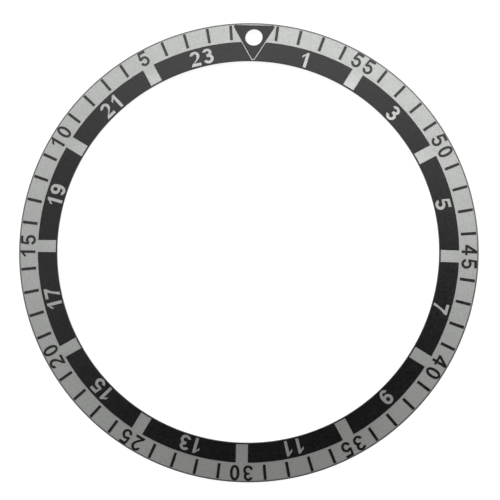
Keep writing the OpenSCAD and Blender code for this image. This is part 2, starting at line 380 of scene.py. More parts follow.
def triangle_loop(margin=0.0):
    """The triangle, its point towards the opening and its three corners rounded.

    It is drawn larger all round by a margin. With one, it keeps the hour band off the
    triangle.
    """
    half = math.degrees(TRIANGLE_HALF_ANGLE)
    x = TRIANGLE_HALF_W - TRIANGLE_CORNER_R / math.tan(math.radians(45 - half / 2))
    y = TRIANGLE_BASE_R - TRIANGLE_CORNER_R
    r = TRIANGLE_CORNER_R + margin
    right = arc((x, y), (r, r), -half, 90, 12)
    left = arc((-x, y), (r, r), 90, 180 + half, 12)
    point = arc((0, TRIANGLE_POINT_Y), (r, r), 180 + half, 360 - half, 16)
    return np.vstack([right, left, point])


def field_loop(hour):
    """Outline of one hour field between the bars before and after it.

    A bar is parallel-sided, so its half angle at a radius is the arcsine of half its
    width over that radius. At the triangle there is no bar, and the half angle is 0.
    """

    def side(even_hour, r):
        bar = BAR_W / 2 if even_hour % HOURS_ROUND else 0
        return math.degrees(math.asin(bar / r))

    def edge(r):
        start = (hour - 1) * HOUR_ANGLE + side(hour - 1, r)
        end = (hour + 1) * HOUR_ANGLE - side(hour + 1, r)
        return ring_points(r, np.linspace(start, end, round((end - start) / ARC_STEP) + 1))

    return np.vstack([edge(BAND_INNER_R), edge(BAND_OUTER_R)[::-1]])


# Flat regions


def within(points, loops):
    """Even-odd test of many points against closed loops.

    A point is inside where a ray from it along +X crosses the loops an odd number of
    times.
    """
    x, y = points[:, 0, None], points[:, 1, None]
    inside = np.zeros(len(points), bool)
    for loop in loops:
        a, b = loop, np.roll(loop, -1, axis=0)
        spans = (a[:, 1] > y) != (b[:, 1] > y)
        height = np.where(a[:, 1] == b[:, 1], 1, b[:, 1] - a[:, 1])
        cross_x = a[:, 0] + (y - a[:, 1]) / height * (b[:, 0] - a[:, 0])
        inside ^= (np.sum(spans & (x < cross_x), axis=1) % 2).astype(bool)
    return inside


def lattice(loops, spacing):
    """Points of a triangular lattice over the bounds of the loops."""
    every = np.vstack(loops)
    lo, hi = every.min(0), every.max(0)
    xs = np.arange(lo[0], hi[0], spacing)
    ys = np.arange(lo[1], hi[1], spacing * math.sqrt(3) / 2)
    x, y = np.meshgrid(xs, ys)
    x = x + np.where(np.arange(len(ys)) % 2, spacing / 2, 0)[:, None]
    return np.column_stack([x.ravel(), y.ravel()])


def clear_of(points, loops, distance):
    """The points that are farther than a distance from every corner of the loops."""
    corners = np.vstack(loops)
    gap = np.linalg.norm(points[:, None] - corners[None], axis=2).min(axis=1)
    return points[gap > distance]


def flat_region(loops, inside, inner_points):
    """Constrained Delaunay triangles of a flat region.

    Takes closed loops, a test that says which points are in the region, and points to
    use in its middle. Returns the points, the triangles, the directed rim edges and at
    each rim point the outward direction, stretched so that moving by it shifts both
    of its edges by one unit.
    """
    points = np.vstack([*loops, inner_points])
    ends = np.cumsum([len(loop) for loop in loops])
    edges = [
        (i, i + 1 if i + 1 < end else end - len(loop))
        for loop, end in zip(loops, ends)
        for i in range(end - len(loop), end)
    ]
    found, _, faces, sources, _, _ = delaunay_2d_cdt(
        [Vector(p) for p in points], edges, [], 0, SNAP
    )
    co = np.array([points[s[0]] if s else tuple(p) for p, s in zip(found, sources)])
    tris = np.array(faces)
    ab, ac = co[tris[:, 1]] - co[tris[:, 0]], co[tris[:, 2]] - co[tris[:, 0]]
    twice_area = ab[:, 0] * ac[:, 1] - ab[:, 1] * ac[:, 0]
    tris[twice_area < 0] = tris[twice_area < 0][:, ::-1]
    tris = tris[inside(co[tris].mean(axis=1)) & (np.abs(twice_area) > NO_AREA)]
    used, tris = np.unique(tris, return_inverse=True)
    co, tris = co[used], tris.reshape(-1, 3)
    halves = np.vstack([tris[:, [0, 1]], tris[:, [1, 2]], tris[:, [2, 0]]])
    count = len(co)
    key, back = halves[:, 0] * count + halves[:, 1], halves[:, 1] * count + halves[:, 0]
    rim = halves[~np.isin(key, back)]
    along = co[rim[:, 1]] - co[rim[:, 0]]
    normal = np.column_stack([along[:, 1], -along[:, 0]])
    normal /= np.linalg.norm(normal, axis=1, keepdims=True)
    outward = np.zeros((count, 2))
    np.add.at(outward, rim[:, 0], normal)
    np.add.at(outward, rim[:, 1], normal)
    # The sum of two unit vectors, over half its square length, shifts both edges by one
    square = np.maximum(np.sum(outward**2, axis=1, keepdims=True) / 2, MITRE)
    return co, tris, rim, outward / square


# Surfaces and meshes


class Shell:
    """Closed surface that is collected patch by patch.

    Each patch brings its own points, exact normals and edge wear. Where patches meet
    their points are welded, and the face corners keep the normals of their patch.
    """

    def __init__(self):
        self.patches = []

    def add(self, co, normals, faces, wear=0.0):
        """Adds a patch and turns its faces so that they look along its normals."""
        co, normals = np.asarray(co, float), np.asarray(normals, float)
        corner = co[faces]
        looks = np.cross(corner[:, 1] - corner[:, 0], corner[:, 2] - corner[:, 0])
        if faces.shape[1] == 4:
            looks += np.cross(corner[:, 2] - corner[:, 0], corner[:, 3] - corner[:, 0])
        wrong = np.sum(looks * normals[faces].mean(axis=1), axis=1) < 0
        faces = faces.copy()
        faces[wrong] = faces[wrong][:, ::-1]
        wear = np.broadcast_to(np.asarray(wear, float), len(co))
        self.patches.append((co, normals, faces, wear))

    def repeated(self, angles):
        """A shell with this one's patches turned to each of the angles."""
        many = Shell()
        for co, normals, faces, wear in self.patches:
            shift = np.arange(len(angles))[:, None, None] * len(co)
            every_co = np.vstack([np.c_[turned(co[:, :2], a), co[:, 2]] for a in angles])
            every_n = np.vstack([
                np.c_[turned(normals[:, :2], a), normals[:, 2]] for a in angles
            ])
            every_face = (faces[None] + shift).reshape(-1, faces.shape[1])
            many.add(every_co, every_n, every_face, np.tile(wear, len(angles)))
        return many

    def build(self, name, material, slot, *nodes):
        """Makes the object, gives it a material and lets it stand for CAD nodes."""
        co = np.vstack([p[0] for p in self.patches])
        _, first, where = np.unique(
            np.round(co / WELD).astype(np.int64), axis=0, return_index=True, return_inverse=True
        )
        where = where.ravel()
        faces, normals, wear, start = [], [], [], 0
        for own_co, own_normals, own_faces, own_wear in self.patches:
            faces += where[own_faces + start].tolist()
            normals.append(own_normals[own_faces].reshape(-1, 3))
            wear.append(own_wear[own_faces].ravel())
            start += len(own_co)
        mesh = bpy.data.meshes.new(name)
        mesh.from_pydata((co[first] * MM).tolist(), [], faces)
        mesh.shade_smooth()
        normals = np.vstack(normals)
        normals /= np.linalg.norm(normals, axis=1, keepdims=True)
        mesh.normals_split_custom_set(normals.tolist())
        worn = mesh.attributes.new("edge_wear", "FLOAT", "CORNER")
        worn.data.foreach_set("value", np.concatenate(wear).astype(np.float32))
        mesh.materials.append(material)
        piece = bpy.data.objects.new(name, mesh)
        bpy.context.scene.collection.objects.link(piece)
        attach(piece, BODY)
        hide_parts(*nodes)
        return piece


def grid_faces(rows, columns, closed=False):
    """Quads of a grid of points stored row by row, closed along its rows if asked."""
    row, column = np.meshgrid(
        np.arange(rows - 1), np.arange(columns if closed else columns - 1), indexing="ij"
    )
    nearer, next_column = row * columns, (column + 1) % columns
    a, b = nearer + column, nearer + next_column
    return np.stack([a, b, b + columns, a + columns], axis=-1).reshape(-1, 4)


def rounded_section(corners):
    """Sides and fillets of a closed section in (r, z), counterclockwise.

    A corner with radius R between sides that turn by t starts its fillet R * tan(t / 2)
    before the corner, and the fillet's normal turns evenly from one side's to the next.
    Returns the fillets as (points, normals), one for each corner.
    """
    at = np.array([c[:2] for c in corners])
    radius = np.array([c[2] for c in corners])
    before = at - np.roll(at, 1, axis=0)
    before /= np.linalg.norm(before, axis=1, keepdims=True)
    after = np.roll(before, -1, axis=0)
    heading = np.arctan2(-before[:, 0], before[:, 1])
    turn = np.arctan2(
        before[:, 0] * after[:, 1] - before[:, 1] * after[:, 0], np.sum(before * after, axis=1)
    )
    start = at - before * (radius * np.tan(turn / 2))[:, None]
    fillets = []
    for i in range(len(corners)):
        a = heading[i] + turn[i] * np.linspace(0, 1, FILLET_STEPS + 1)
        normals = np.column_stack([np.cos(a), np.sin(a)])
        centre = start[i] - radius[i] * normals[0]
        fillets.append((centre + radius[i] * normals, normals))
    return fillets


def lathe(shell, points, normals, angles, closed, wear=0.0):
    """Turns a profile of (r, z) points round the axis and adds it to a shell."""
    a = np.radians(angles)
    sin, cos = np.sin(a), np.cos(a)
    r, z = points[:, 0, None], points[:, 1, None]
    co = np.stack([r * sin, r * cos, z + 0 * sin], axis=-1).reshape(-1, 3)
    out, up = normals[:, 0, None], normals[:, 1, None]
    n = np.stack([out * sin, out * cos, up + 0 * sin], axis=-1).reshape(-1, 3)
    faces = grid_faces(len(points), len(angles), closed)
    shell.add(co, n, faces, np.repeat(np.broadcast_to(wear, len(points)), len(angles)))


def straight(start, end, rows):
    """Evenly spaced points of a straight side, both ends included."""
    return start + np.linspace(0, 1, rows + 1)[:, None] * (end - start)


def cone_normals(flat):
    """Normals of the sloping face at flat points: tilted outwards by the slope's angle."""
    r = np.linalg.norm(flat, axis=1, keepdims=True)
    return np.c_[flat / r * math.sin(SLOPE_ANGLE), np.full(len(flat), math.cos(SLOPE_ANGLE))]


def on_face(flat):
    """Height of the sloping face under flat points."""
    return face_z(np.linalg.norm(flat, axis=1))


def at_height(z):
    """A function that gives one height under all flat points."""
    return lambda flat: np.full(len(flat), z)


def facing(up):
    """A function that gives flat points one normal, straight up or down."""
    return lambda flat: np.tile([0.0, 0.0, up], (len(flat), 1))


def holed_patch(shell, side, angles, hole_r, height, normals):
    """Part of a face round the pip hole, between the rows and columns of the lathe.

    side holds the radii of the lathe's rows. The rows' and columns' points near the
    hole are left out, and a ring of points at hole_r takes their place. height and
    normals give the face's height and normals at flat points.
    """
    grid = ring_points(side[:, None], angles[None])
    outline = np.vstack([grid[0], grid[1:, -1], grid[-1, -2::-1], grid[-2:0:-1, 0]])
    hole = circle((0, PIP_R), hole_r, HOLE_STEPS)
    halo = circle((0, PIP_R), hole_r * HALO_RATIO, HOLE_STEPS // 2)
    middle = clear_of(grid[1:-1, 1:-1].reshape(-1, 2), [halo], HALO_CLEARANCE)
    middle = middle[np.hypot(middle[:, 0], middle[:, 1] - PIP_R) > hole_r * GRID_RATIO]
    loops = [outline, hole]
    co, tris, _, _ = flat_region(loops, lambda q: within(q, loops), np.vstack([halo, middle]))
    shell.add(np.c_[co, height(co)], normals(co), tris)


def slab(shell, region, levels, base, up):
    """Thin solid over a flat region.

    Each level is an inset, a height over the base and the tilt of the rim's normal,
    from 0 level to 90 straight up, lowest level first. base gives the height under
    flat points and up their normals.
    """
    co, tris, rim, outward = region
    sheets = []
    for inset, rise, tilt in levels:
        flat = co - outward * inset
        sheets.append((flat, np.c_[flat, base(flat) + rise], math.radians(tilt)))
    shell.add(sheets[0][1], facing(-1.0)(co), tris)
    shell.add(sheets[-1][1], up(sheets[-1][0]), tris)
    rim_normal = outward / np.maximum(np.linalg.norm(outward, axis=1, keepdims=True), TINY)
    for (_, low, low_tilt), (_, high, high_tilt) in zip(sheets, sheets[1:]):
        normals = [
            np.c_[rim_normal * math.cos(tilt), np.zeros(len(co))] + up(co) * math.sin(tilt)
            for tilt in (low_tilt, high_tilt)
        ]
        walls = np.column_stack([rim, rim[:, ::-1] + len(co)])
        shell.add(np.vstack([low, high]), np.vstack(normals), walls, 1.0)


def print_shell(solid, bare, p, spread=0.0, rise=PRINT_T):
    """Film of ink on the sloping face, in the solid loops less the bare ones.

    Its outline lies a little outside the loops where the ink has spread. Its rim is
    rounded off over a small width, up to the film's rise over the face.
    """
    loops = [*solid, *bare]

    def inside(q):
        return within(q, solid) & ~within(q, bare)

    grid = lattice(loops, FLAT_GRID)
    grid = clear_of(grid[inside(grid)], loops, GRID_CLEARANCE)
    edge = p.ink_edge / MM
    levels = [(inset * edge - spread, up * rise, tilt) for inset, up, tilt in INK_RIM]
    shell = Shell()
    slab(shell, flat_region(loops, inside, grid), levels, on_face, cone_normals)
    return shell


# Nodes


class Nodes:
    """A node tree with a short call for each kind of node that it takes.

    A value is a plain number, vector or colour, or another node's output.
    """

    def __init__(self, tree):
        self.tree = tree

    def put(self, value, socket):
        """Links an output to a socket, or writes a plain value into it."""
        if isinstance(value, bpy.types.NodeSocket):
            self.tree.links.new(value, socket)
        else:
            socket.default_value = value

    def add(self, kind, inputs=(), **settings):
        """A node with its settings, and its inputs by name or number. Returns its outputs."""
        node = self.tree.nodes.new(f"ShaderNode{kind}")
        for name, value in settings.items():
            setattr(node, name, value)
        for socket, value in dict(inputs).items():
            self.put(value, node.inputs[socket])
        return node.outputs

    def operate(self, operation, result, *values):
        """Two or more values put together one after another by a Math operation."""
        for value in values:
            result = self.add("Math", {0: result, 1: value}, operation=operation)[0]
        return result

    times = partialmethod(operate, "MULTIPLY")
    plus = partialmethod(operate, "ADD")
    minus = partialmethod(operate, "SUBTRACT")
    most = partialmethod(operate, "MAXIMUM")
    over = partialmethod(operate, "GREATER_THAN")
    under = partialmethod(operate, "LESS_THAN")

    def vector(self, operation, *values):
        """Outputs of a Vector Math node."""
        return self.add("VectorMath", enumerate(values), operation=operation)

    def ramp(self, value, low, high, to_low=0.0, to_high=1.0):
        """Smooth step of a value from one range to another."""
        inputs = enumerate((value, low, high, to_low, to_high))
        return self.add("MapRange", inputs, interpolation_type="SMOOTHSTEP")[0]

    def step(self, value, place, blend, to_low=0.0, to_high=1.0):
        """Smooth step of a value beside a place, between two distances from it."""
        return self.ramp(value, place + blend[0], place + blend[1], to_low, to_high)

    def spread(self, noise, low, high):
        """A noise drawn out to a range."""
        return self.ramp(noise, *NOISE_RANGE, low, high)

    def noise(self, point, scale, detail=2.0, rough=0.5):
        """Value of a 3-D noise texture. The scale is in features for each millimetre."""
        inputs = {"Vector": point, "Scale": scale, "Detail": detail, "Roughness": rough}
        return self.add("TexNoise", inputs)[0]

    def mix(self, factor, a, b, blend="MIX"):
        """Two colours mixed by a factor."""
        return self.add("Mix", {0: factor, 6: a, 7: b}, data_type="RGBA", blend_type=blend)[2]

    def tinted(self, colour, tone):
        """A colour made darker or lighter by a tone."""
        return self.mix(1.0, colour, tone, "MULTIPLY")

    def place(self):
        """Object coordinates in millimetres, these laid flat, and the distance from the axis."""
        coords = self.add("TexCoord")["Object"]
        point = self.add("VectorMath", {0: coords, "Scale": 1 / MM}, operation="SCALE")[0]
        flat = self.vector("MULTIPLY", point, (1, 1, 0))[0]
        return point, flat, self.vector("LENGTH", flat)["Value"]

    def group(self, name, **values):
        """Outputs of a shared node group, which is built the first time."""
        inputs = {socket.replace("_", " "): value for socket, value in values.items()}
        tree = bpy.data.node_groups.get(name) or GROUP_MAKERS[name]()
        return self.add("Group", inputs, node_tree=tree)

    def finish(self, colour, rough, height, depth, metallic=0.0, specular=0.5):
        """Principled shader of the material, with a bump of a depth in millimetres."""
        bump = self.add("Bump", {"Distance": depth * MM, "Height": height})[0]
        inputs = {"Base Color": colour, "Roughness": rough, "Normal": bump}
        inputs |= {"Metallic": metallic, "Specular IOR Level": specular}
        self.add("OutputMaterial", {"Surface": self.add("BsdfPrincipled", inputs)[0]})


def new_group(name, inputs, outputs):
    """An empty node group with number sockets, and a vector one where the default is None.

    Returns its nodes, the sockets that it is given and those that it fills.
    """
    group = bpy.data.node_groups.new(name, "ShaderNodeTree")
    for socket, default in inputs.items():
        kind = "NodeSocketVector" if default is None else "NodeSocketFloat"
        made = group.interface.new_socket(socket, in_out="INPUT", socket_type=kind)
        if default is not None:
            made.default_value = default
    for socket in outputs:
        group.interface.new_socket(socket, in_out="OUTPUT", socket_type="NodeSocketFloat")
    given, out = group.nodes.new("NodeGroupInput"), group.nodes.new("NodeGroupOutput")
    return Nodes(group), given.outputs, out.inputs


def grain_group():
    """Fine grain and slow cloudiness of a blasted or printed surface.

    Grain is the mean of two noises, one three times finer. Cloud is a slow noise. Both
    are spread round one half. Speck is a mask of sparse small dots.
    """
    nodes, given, out = new_group(
        "Surface grain",
        {"Point": None, "Grain per mm": 9.0, "Cloud per mm": 0.5, "Speck share": 0.08},
        ["Grain", "Cloud", "Speck"],
    )
    point, scale = given["Point"], given["Grain per mm"]
    fine = nodes.noise(point, nodes.times(scale, 3.0))
    nodes.put(nodes.times(nodes.plus(nodes.noise(point, scale), fine), 0.5), out["Grain"])
    nodes.put(nodes.noise(point, given["Cloud per mm"], 3.0, 0.6), out["Cloud"])
    cells = nodes.add("TexVoronoi", {"Vector": point, "Scale": nodes.times(scale, 0.25)})
    # Only cells whose own random colour is high hold a speck
    chosen = nodes.over(cells["Color"], 0.7)
    dot = nodes.under(cells["Distance"], given["Speck share"])
    nodes.put(nodes.times(chosen, dot), out["Speck"])
    return nodes.tree


def wear_group():
    """Mask of the worn edges: the mesh's own edge_wear, broken up by noise."""
    nodes, given, out = new_group("Edge wear", {"Point": None, "Amount": 0.6}, ["Wear"])
    edge = nodes.add("Attribute", attribute_name="edge_wear")["Fac"]
    patches = nodes.ramp(nodes.noise(given["Point"], 1.7, 3.0), 0.35, 0.65)
    nodes.put(nodes.times(edge, patches, given["Amount"]), out["Wear"])
    return nodes.tree


def lines_group():
    """Height of faint turning lines that run round the axis, plus a slow waver."""
    nodes, given, out = new_group(
        "Turning lines", {"Point": None, "Radius": 0.0, "Lines per mm": 14.0}, ["Height"]
    )
    waver = nodes.times(nodes.noise(given["Point"], 0.4), 0.03)
    along = nodes.add("CombineXYZ", {0: nodes.plus(given["Radius"], waver)})[0]
    nodes.put(nodes.noise(along, given["Lines per mm"], 3.0, 0.7), out["Height"])
    return nodes.tree


GROUP_MAKERS = {
    "Surface grain": grain_group,
    "Edge wear": wear_group,
    "Turning lines": lines_group,
}


# Materials. A blend is the two distances from a place between which a finish changes.

NOISE_RANGE = (0.3, 0.7)

METAL_CLOUDS = (0.985, 1.015)
METAL_SPECK = 0.1
METAL_ROUGH_CHANGE = 0.04
WORN_METAL = 1.25
WORN_POLISH = 0.12
WALL_COLOUR = (0.9, 0.9, 0.89, 1)
WALL_BLEND = (0.004, 0.012)
WALL_TOP_BLEND = (-0.006, 0.002)
INNER_GLOSS_AND_HIGHLIGHT_REACH = 0.3
OUTER_EDGE_BLEND = (-0.045, 0.005)
OUTER_EDGE_ROUGH = 0.15
# Near black painted on the pip hole's wall, and the ink on the bevel at the opening
HOLE_AND_BEVEL_DARK = (0.02, 0.02, 0.02, 1)
HOLE_BLEND = (0.004, 0.03)
HOLE_DARKNESS = 0.9
LINES_ON_FACE = 0.06
LINES_ON_EDGE = 0.35

INK_GRAIN_PER_MM = 6.0
INK_SPECK_SHARE = 0.05
INK_GRAIN = (0.55, 1.45)
INK_CLOUDS = (0.93, 1.07)
INK_ROUGH_CHANGE = 0.1
INK_BUMP = 0.006
DUST_SHARE = 0.5
DUST_COLOUR = (0.1, 0.1, 0.1, 1)
RIM_COLOUR = (0.12, 0.12, 0.12, 1)
RIM_ROUGH = 0.15

TAPE_GRAIN_PER_MM = 3.0
TAPE_CLOUDS_PER_MM = 0.35
TAPE_CLOUDS = (0.94, 1.05)
TAPE_FIBRES = (0.93, 1.04)
TAPE_ROUGH = (0.5, 0.68)
TAPE_BUMP = 0.004
TAPE_WEAR = 0.5
WORN_TAPE = 0.7
FIBRE_STRETCH = (6, 0.8, 6)
BUBBLE_SPECK_SHARE = 0.3
BUBBLE_SHARE = 0.25
BUBBLE_COLOUR = (1, 1, 1, 1)
BUBBLE_HEIGHT = 0.4


def material(name, paint, *settings):
    """A material by its name, painted the first time that it is asked for."""
    made = bpy.data.materials.get(name)
    if made is None:
        made = bpy.data.materials.new(name)
        made.use_nodes = True
        made.node_tree.nodes.clear()
        paint(Nodes(made.node_tree), *settings)
    return made


def scaled(colour, factor):
    """A colour as four numbers, made darker or lighter."""
    return (*[c * factor for c in colour[:3]], 1.0)


def paint_aluminium(nodes, p):
    """Blasted, clear-anodised aluminium: grainy satin metal, brighter on worn edges.

    Lightness follows the grain and the clouds. The face gets smoother towards the
    opening and is painted lighter there, a painted highlight. The opening's wall is under
    a clear coat. The turned outer edge is rougher and painted darker, a painted shade.
    The pip hole's wall is painted near black, and ink has run over the bevel at the opening.
    Turning lines show faintly on the back and the face, and more on the outer edge.
    """
    point, flat, radius = nodes.place()
    grain = nodes.group("Surface grain", Point=point, Grain_per_mm=p.grain_per_mm)
    wear = nodes.group("Edge wear", Point=point, Amount=p.edge_wear)["Wear"]
    lines = nodes.group("Turning lines", Point=point, Radius=radius)["Height"]
    outer = nodes.step(radius, FACE_OUTER_R, OUTER_EDGE_BLEND)
    inwards = nodes.ramp(radius, FACE_INNER_R, BAND_OUTER_R + INNER_GLOSS_AND_HIGHLIGHT_REACH, 1, 0)
    coated = nodes.step(radius, OPENING_R - p.wall_coat / MM, WALL_BLEND, 1, 0)

    light = nodes.spread(grain["Grain"], 1 - p.grain_contrast, 1 + p.grain_contrast)
    tone = nodes.times(light, nodes.spread(grain["Cloud"], *METAL_CLOUDS))
    tone = nodes.minus(tone, nodes.times(grain["Speck"], METAL_SPECK))
    colour = nodes.tinted((*p.metal_colour, 1), tone)
    colour = nodes.mix(wear, colour, scaled(p.metal_colour, WORN_METAL))
    # Painted shade: the turned outer edge is painted darker than the face
    colour = nodes.tinted(colour, nodes.ramp(outer, 0, 1, 1, p.edge_tone))
    # Painted highlight: the face is painted lighter towards the opening, where it is also smoother
    colour = nodes.tinted(colour, nodes.ramp(inwards, 0, 1, 1, 1 + p.inner_gloss))
    colour = nodes.mix(coated, colour, WALL_COLOUR)

    # The pip hole's wall is painted near black, and ink is laid over the bevel at the opening
    from_hole = nodes.vector("DISTANCE", flat, (0, PIP_R, 0))["Value"]
    in_hole = nodes.step(from_hole, PIP_HOLE_R, HOLE_BLEND, HOLE_DARKNESS, 0.0)
    wall_top = TOP_Z - (FACE_INNER_R - OPENING_R)
    z = nodes.add("SeparateXYZ", {0: point})["Z"]
    high = nodes.step(z, wall_top, WALL_TOP_BLEND, 0, p.bevel_ink)
    near = nodes.step(radius, FACE_INNER_R, WALL_BLEND, 1, 0)
    dark_hole_and_bevel = nodes.most(in_hole, nodes.times(high, near))
    colour = nodes.mix(dark_hole_and_bevel, colour, HOLE_AND_BEVEL_DARK)

    rough_range = (p.metal_roughness + METAL_ROUGH_CHANGE, p.metal_roughness - METAL_ROUGH_CHANGE)
    rough = nodes.spread(grain["Grain"], *rough_range)
    rough = nodes.minus(rough, nodes.times(wear, WORN_POLISH), nodes.times(inwards, p.inner_gloss))
    rough = nodes.plus(rough, nodes.times(outer, OUTER_EDGE_ROUGH))
    rough = nodes.times(rough, nodes.ramp(coated, 0, 1, 1, p.wall_polish))
    shown = nodes.ramp(radius, FACE_OUTER_R, OUTER_R, LINES_ON_FACE, LINES_ON_EDGE)
    height = nodes.plus(grain["Grain"], nodes.times(lines, shown))
    metallic = nodes.ramp(dark_hole_and_bevel, 0.0, HOLE_DARKNESS, 1.0, 0.0)
    nodes.finish(colour, rough, height, p.grain_depth / MM, metallic)


def paint_ink(nodes, colour, sheen, p):
    """Satin ink: a dark even film with fine orange peel, specks of dust and a pale rim.

    The rim of a field, where the film thins out, is a little lighter and rougher.
    """
    point, _, _ = nodes.place()
    grain = nodes.group(
        "Surface grain", Point=point, Grain_per_mm=INK_GRAIN_PER_MM, Speck_share=INK_SPECK_SHARE
    )
    wear = nodes.group("Edge wear", Point=point, Amount=p.rim_wear)["Wear"]
    light = nodes.spread(grain["Grain"], *INK_GRAIN)
    tone = nodes.times(light, nodes.spread(grain["Cloud"], *INK_CLOUDS))
    made = nodes.tinted((*colour, 1), tone)
    made = nodes.mix(nodes.times(grain["Speck"], DUST_SHARE), made, DUST_COLOUR)
    made = nodes.mix(wear, made, RIM_COLOUR)
    rough_range = (p.ink_roughness - INK_ROUGH_CHANGE, p.ink_roughness + INK_ROUGH_CHANGE)
    rough = nodes.spread(grain["Grain"], *rough_range)
    rough = nodes.plus(rough, nodes.times(wear, RIM_ROUGH))
    nodes.finish(made, rough, grain["Grain"], INK_BUMP, specular=sheen)


def paint_tape(nodes, p):
    """Pale double-sided tape: matte, faintly fibrous and cloudy, with small bubbles."""
    point, _, _ = nodes.place()
    grain = nodes.group(
        "Surface grain", Point=point, Grain_per_mm=TAPE_GRAIN_PER_MM,
        Cloud_per_mm=TAPE_CLOUDS_PER_MM, Speck_share=BUBBLE_SPECK_SHARE,
    )
    wear = nodes.group("Edge wear", Point=point, Amount=TAPE_WEAR)["Wear"]
    stretched = nodes.vector("MULTIPLY", point, FIBRE_STRETCH)[0]
    fibres = nodes.noise(stretched, 1.0, 4.0, 0.65)
    cloudy = nodes.spread(grain["Cloud"], *TAPE_CLOUDS)
    tone = nodes.times(nodes.spread(fibres, *TAPE_FIBRES), cloudy)
    colour = nodes.tinted((*p.tape_colour, 1), tone)
    colour = nodes.mix(nodes.times(grain["Speck"], BUBBLE_SHARE), colour, BUBBLE_COLOUR)
    colour = nodes.mix(wear, colour, scaled(p.tape_colour, WORN_TAPE))
    rough = nodes.spread(grain["Grain"], *TAPE_ROUGH)
    height = nodes.plus(fibres, nodes.times(grain["Speck"], BUBBLE_HEIGHT))
    nodes.finish(colour, rough, height, TAPE_BUMP)


def paint_backdrop(nodes, p):
    """White floor that keeps the object's shadow and can't be seen from below.

    To the camera and to mirrors and glass it is white: a plain white glow, less what
    the diffuse part adds where light falls on it. A shadow takes only that part away.
    Scattered light passes it, so that the surroundings light the object from below.
    """
    paths = nodes.add("LightPath")
    seen = nodes.most(paths["Is Camera Ray"], paths["Is Glossy Ray"], paths["Is Transmission Ray"])
    glow = nodes.add("Emission", {"Strength": nodes.times(seen, p.floor_glow)})[0]
    grey = (p.floor_grey, p.floor_grey, p.floor_grey, 1)
    lit = nodes.add("AddShader", {0: glow, 1: nodes.add("BsdfDiffuse", {"Color": grey})[0]})[0]
    backfacing = nodes.add("NewGeometry")["Backfacing"]
    passing = nodes.most(backfacing, paths["Is Diffuse Ray"], paths["Is Shadow Ray"])
    clear = nodes.add("BsdfTransparent")[0]
    side = nodes.add("MixShader", {0: passing, 1: lit, 2: clear})[0]
    nodes.add("OutputMaterial", {"Surface": side})


# Pieces


def build_ring(p):
    """The aluminium ring: a filleted section turned round the axis, with the pip hole.

    The sloping face and the flat back each leave a gap in the turned surface, which a
    patch of triangles round the hole fills. A tube with filleted ends lines the hole.
    """
    shell = Shell()
    edge = p.edge_radius / MM
    z_in, z_out = face_z(FACE_INNER_R), face_z(FACE_OUTER_R)
    inner_bevel = FACE_INNER_R - OPENING_R
    coated_r = OPENING_R - p.wall_coat / MM
    fillets = rounded_section([
        (coated_r, BACK_Z + BACK_BEVEL, edge),
        (coated_r + BACK_BEVEL, BACK_Z, edge),
        (OUTER_R - BACK_BEVEL, BACK_Z, edge),
        (OUTER_R, BACK_Z + BACK_BEVEL, edge),
        (OUTER_R, z_out - OUTER_BEVEL, 2 * edge),
        (FACE_OUTER_R, z_out, 2 * edge),
        (FACE_INNER_R, z_in, 0.5 * edge),
        (coated_r, z_in - inner_bevel, 0.5 * edge),
    ])
    # The back starts at the second corner and the face at the sixth
    holed = {1: (at_height(BACK_Z), facing(-1.0)), 5: (on_face, cone_normals)}
    step = 360 / RING_STEPS
    full = np.arange(RING_STEPS) * 360 / RING_STEPS
    around = np.arange(PATCH_STEPS, RING_STEPS - PATCH_STEPS + 1) * step
    near = np.arange(-PATCH_STEPS, PATCH_STEPS + 1) % RING_STEPS * step
    worn = np.sin(np.linspace(0, math.pi, FILLET_STEPS + 1))
    for points, normals in fillets:
        lathe(shell, points, normals, full, True, worn)
    for i, (points, normals) in enumerate(fillets):
        rows = FACE_ROWS if i in holed else 1
        side = straight(points[-1], fillets[(i + 1) % len(fillets)][0][0], rows)
        side_normals = np.tile(normals[-1], (rows + 1, 1))
        lathe(shell, side, side_normals, around if i in holed else full, i not in holed)
        if i in holed:
            holed_patch(shell, side[:, 0], near, PIP_HOLE_R + edge, *holed[i])
    add_hole_tube(shell, edge)
    metal = material("Satin aluminium", paint_aluminium, p)
    return shell.build("ring", metal, "satin_aluminium", "insert_ring")


def add_hole_tube(shell, edge):
    """Wall of the pip hole with a fillet at each end.

    At an angle round the hole a fillet widens the radius by edge * (1 - sin t) and
    stands edge * (1 - cos t) off the face or the back.
    """
    t = np.linspace(0, math.pi / 2, FILLET_STEPS + 1)
    widen, stand = edge * (1 - np.sin(t)), edge * (1 - np.cos(t))
    rim = circle((0, 0), 1.0, HOLE_STEPS)
    radii = PIP_HOLE_R + np.concatenate([widen, widen[::-1]])
    flat = rim[None] * radii[:, None, None] + [0, PIP_R]
    top = face_z(np.linalg.norm(flat[: len(t)], axis=2)) - stand[:, None]
    bottom = BACK_Z + np.repeat(stand[::-1, None], HOLE_STEPS, axis=1)
    z = np.vstack([top, bottom])[:, :, None]
    tilt = np.concatenate([np.cos(t), -np.cos(t[::-1])])[:, None, None]
    out = np.concatenate([np.sin(t), np.sin(t[::-1])])[:, None, None]
    normals = np.concatenate([-rim[None] * out, np.broadcast_to(tilt, z.shape)], axis=2)
    co = np.concatenate([flat, z], axis=2)
    faces = grid_faces(len(radii), HOLE_STEPS, True)
    shell.add(co.reshape(-1, 3), normals.reshape(-1, 3), faces)


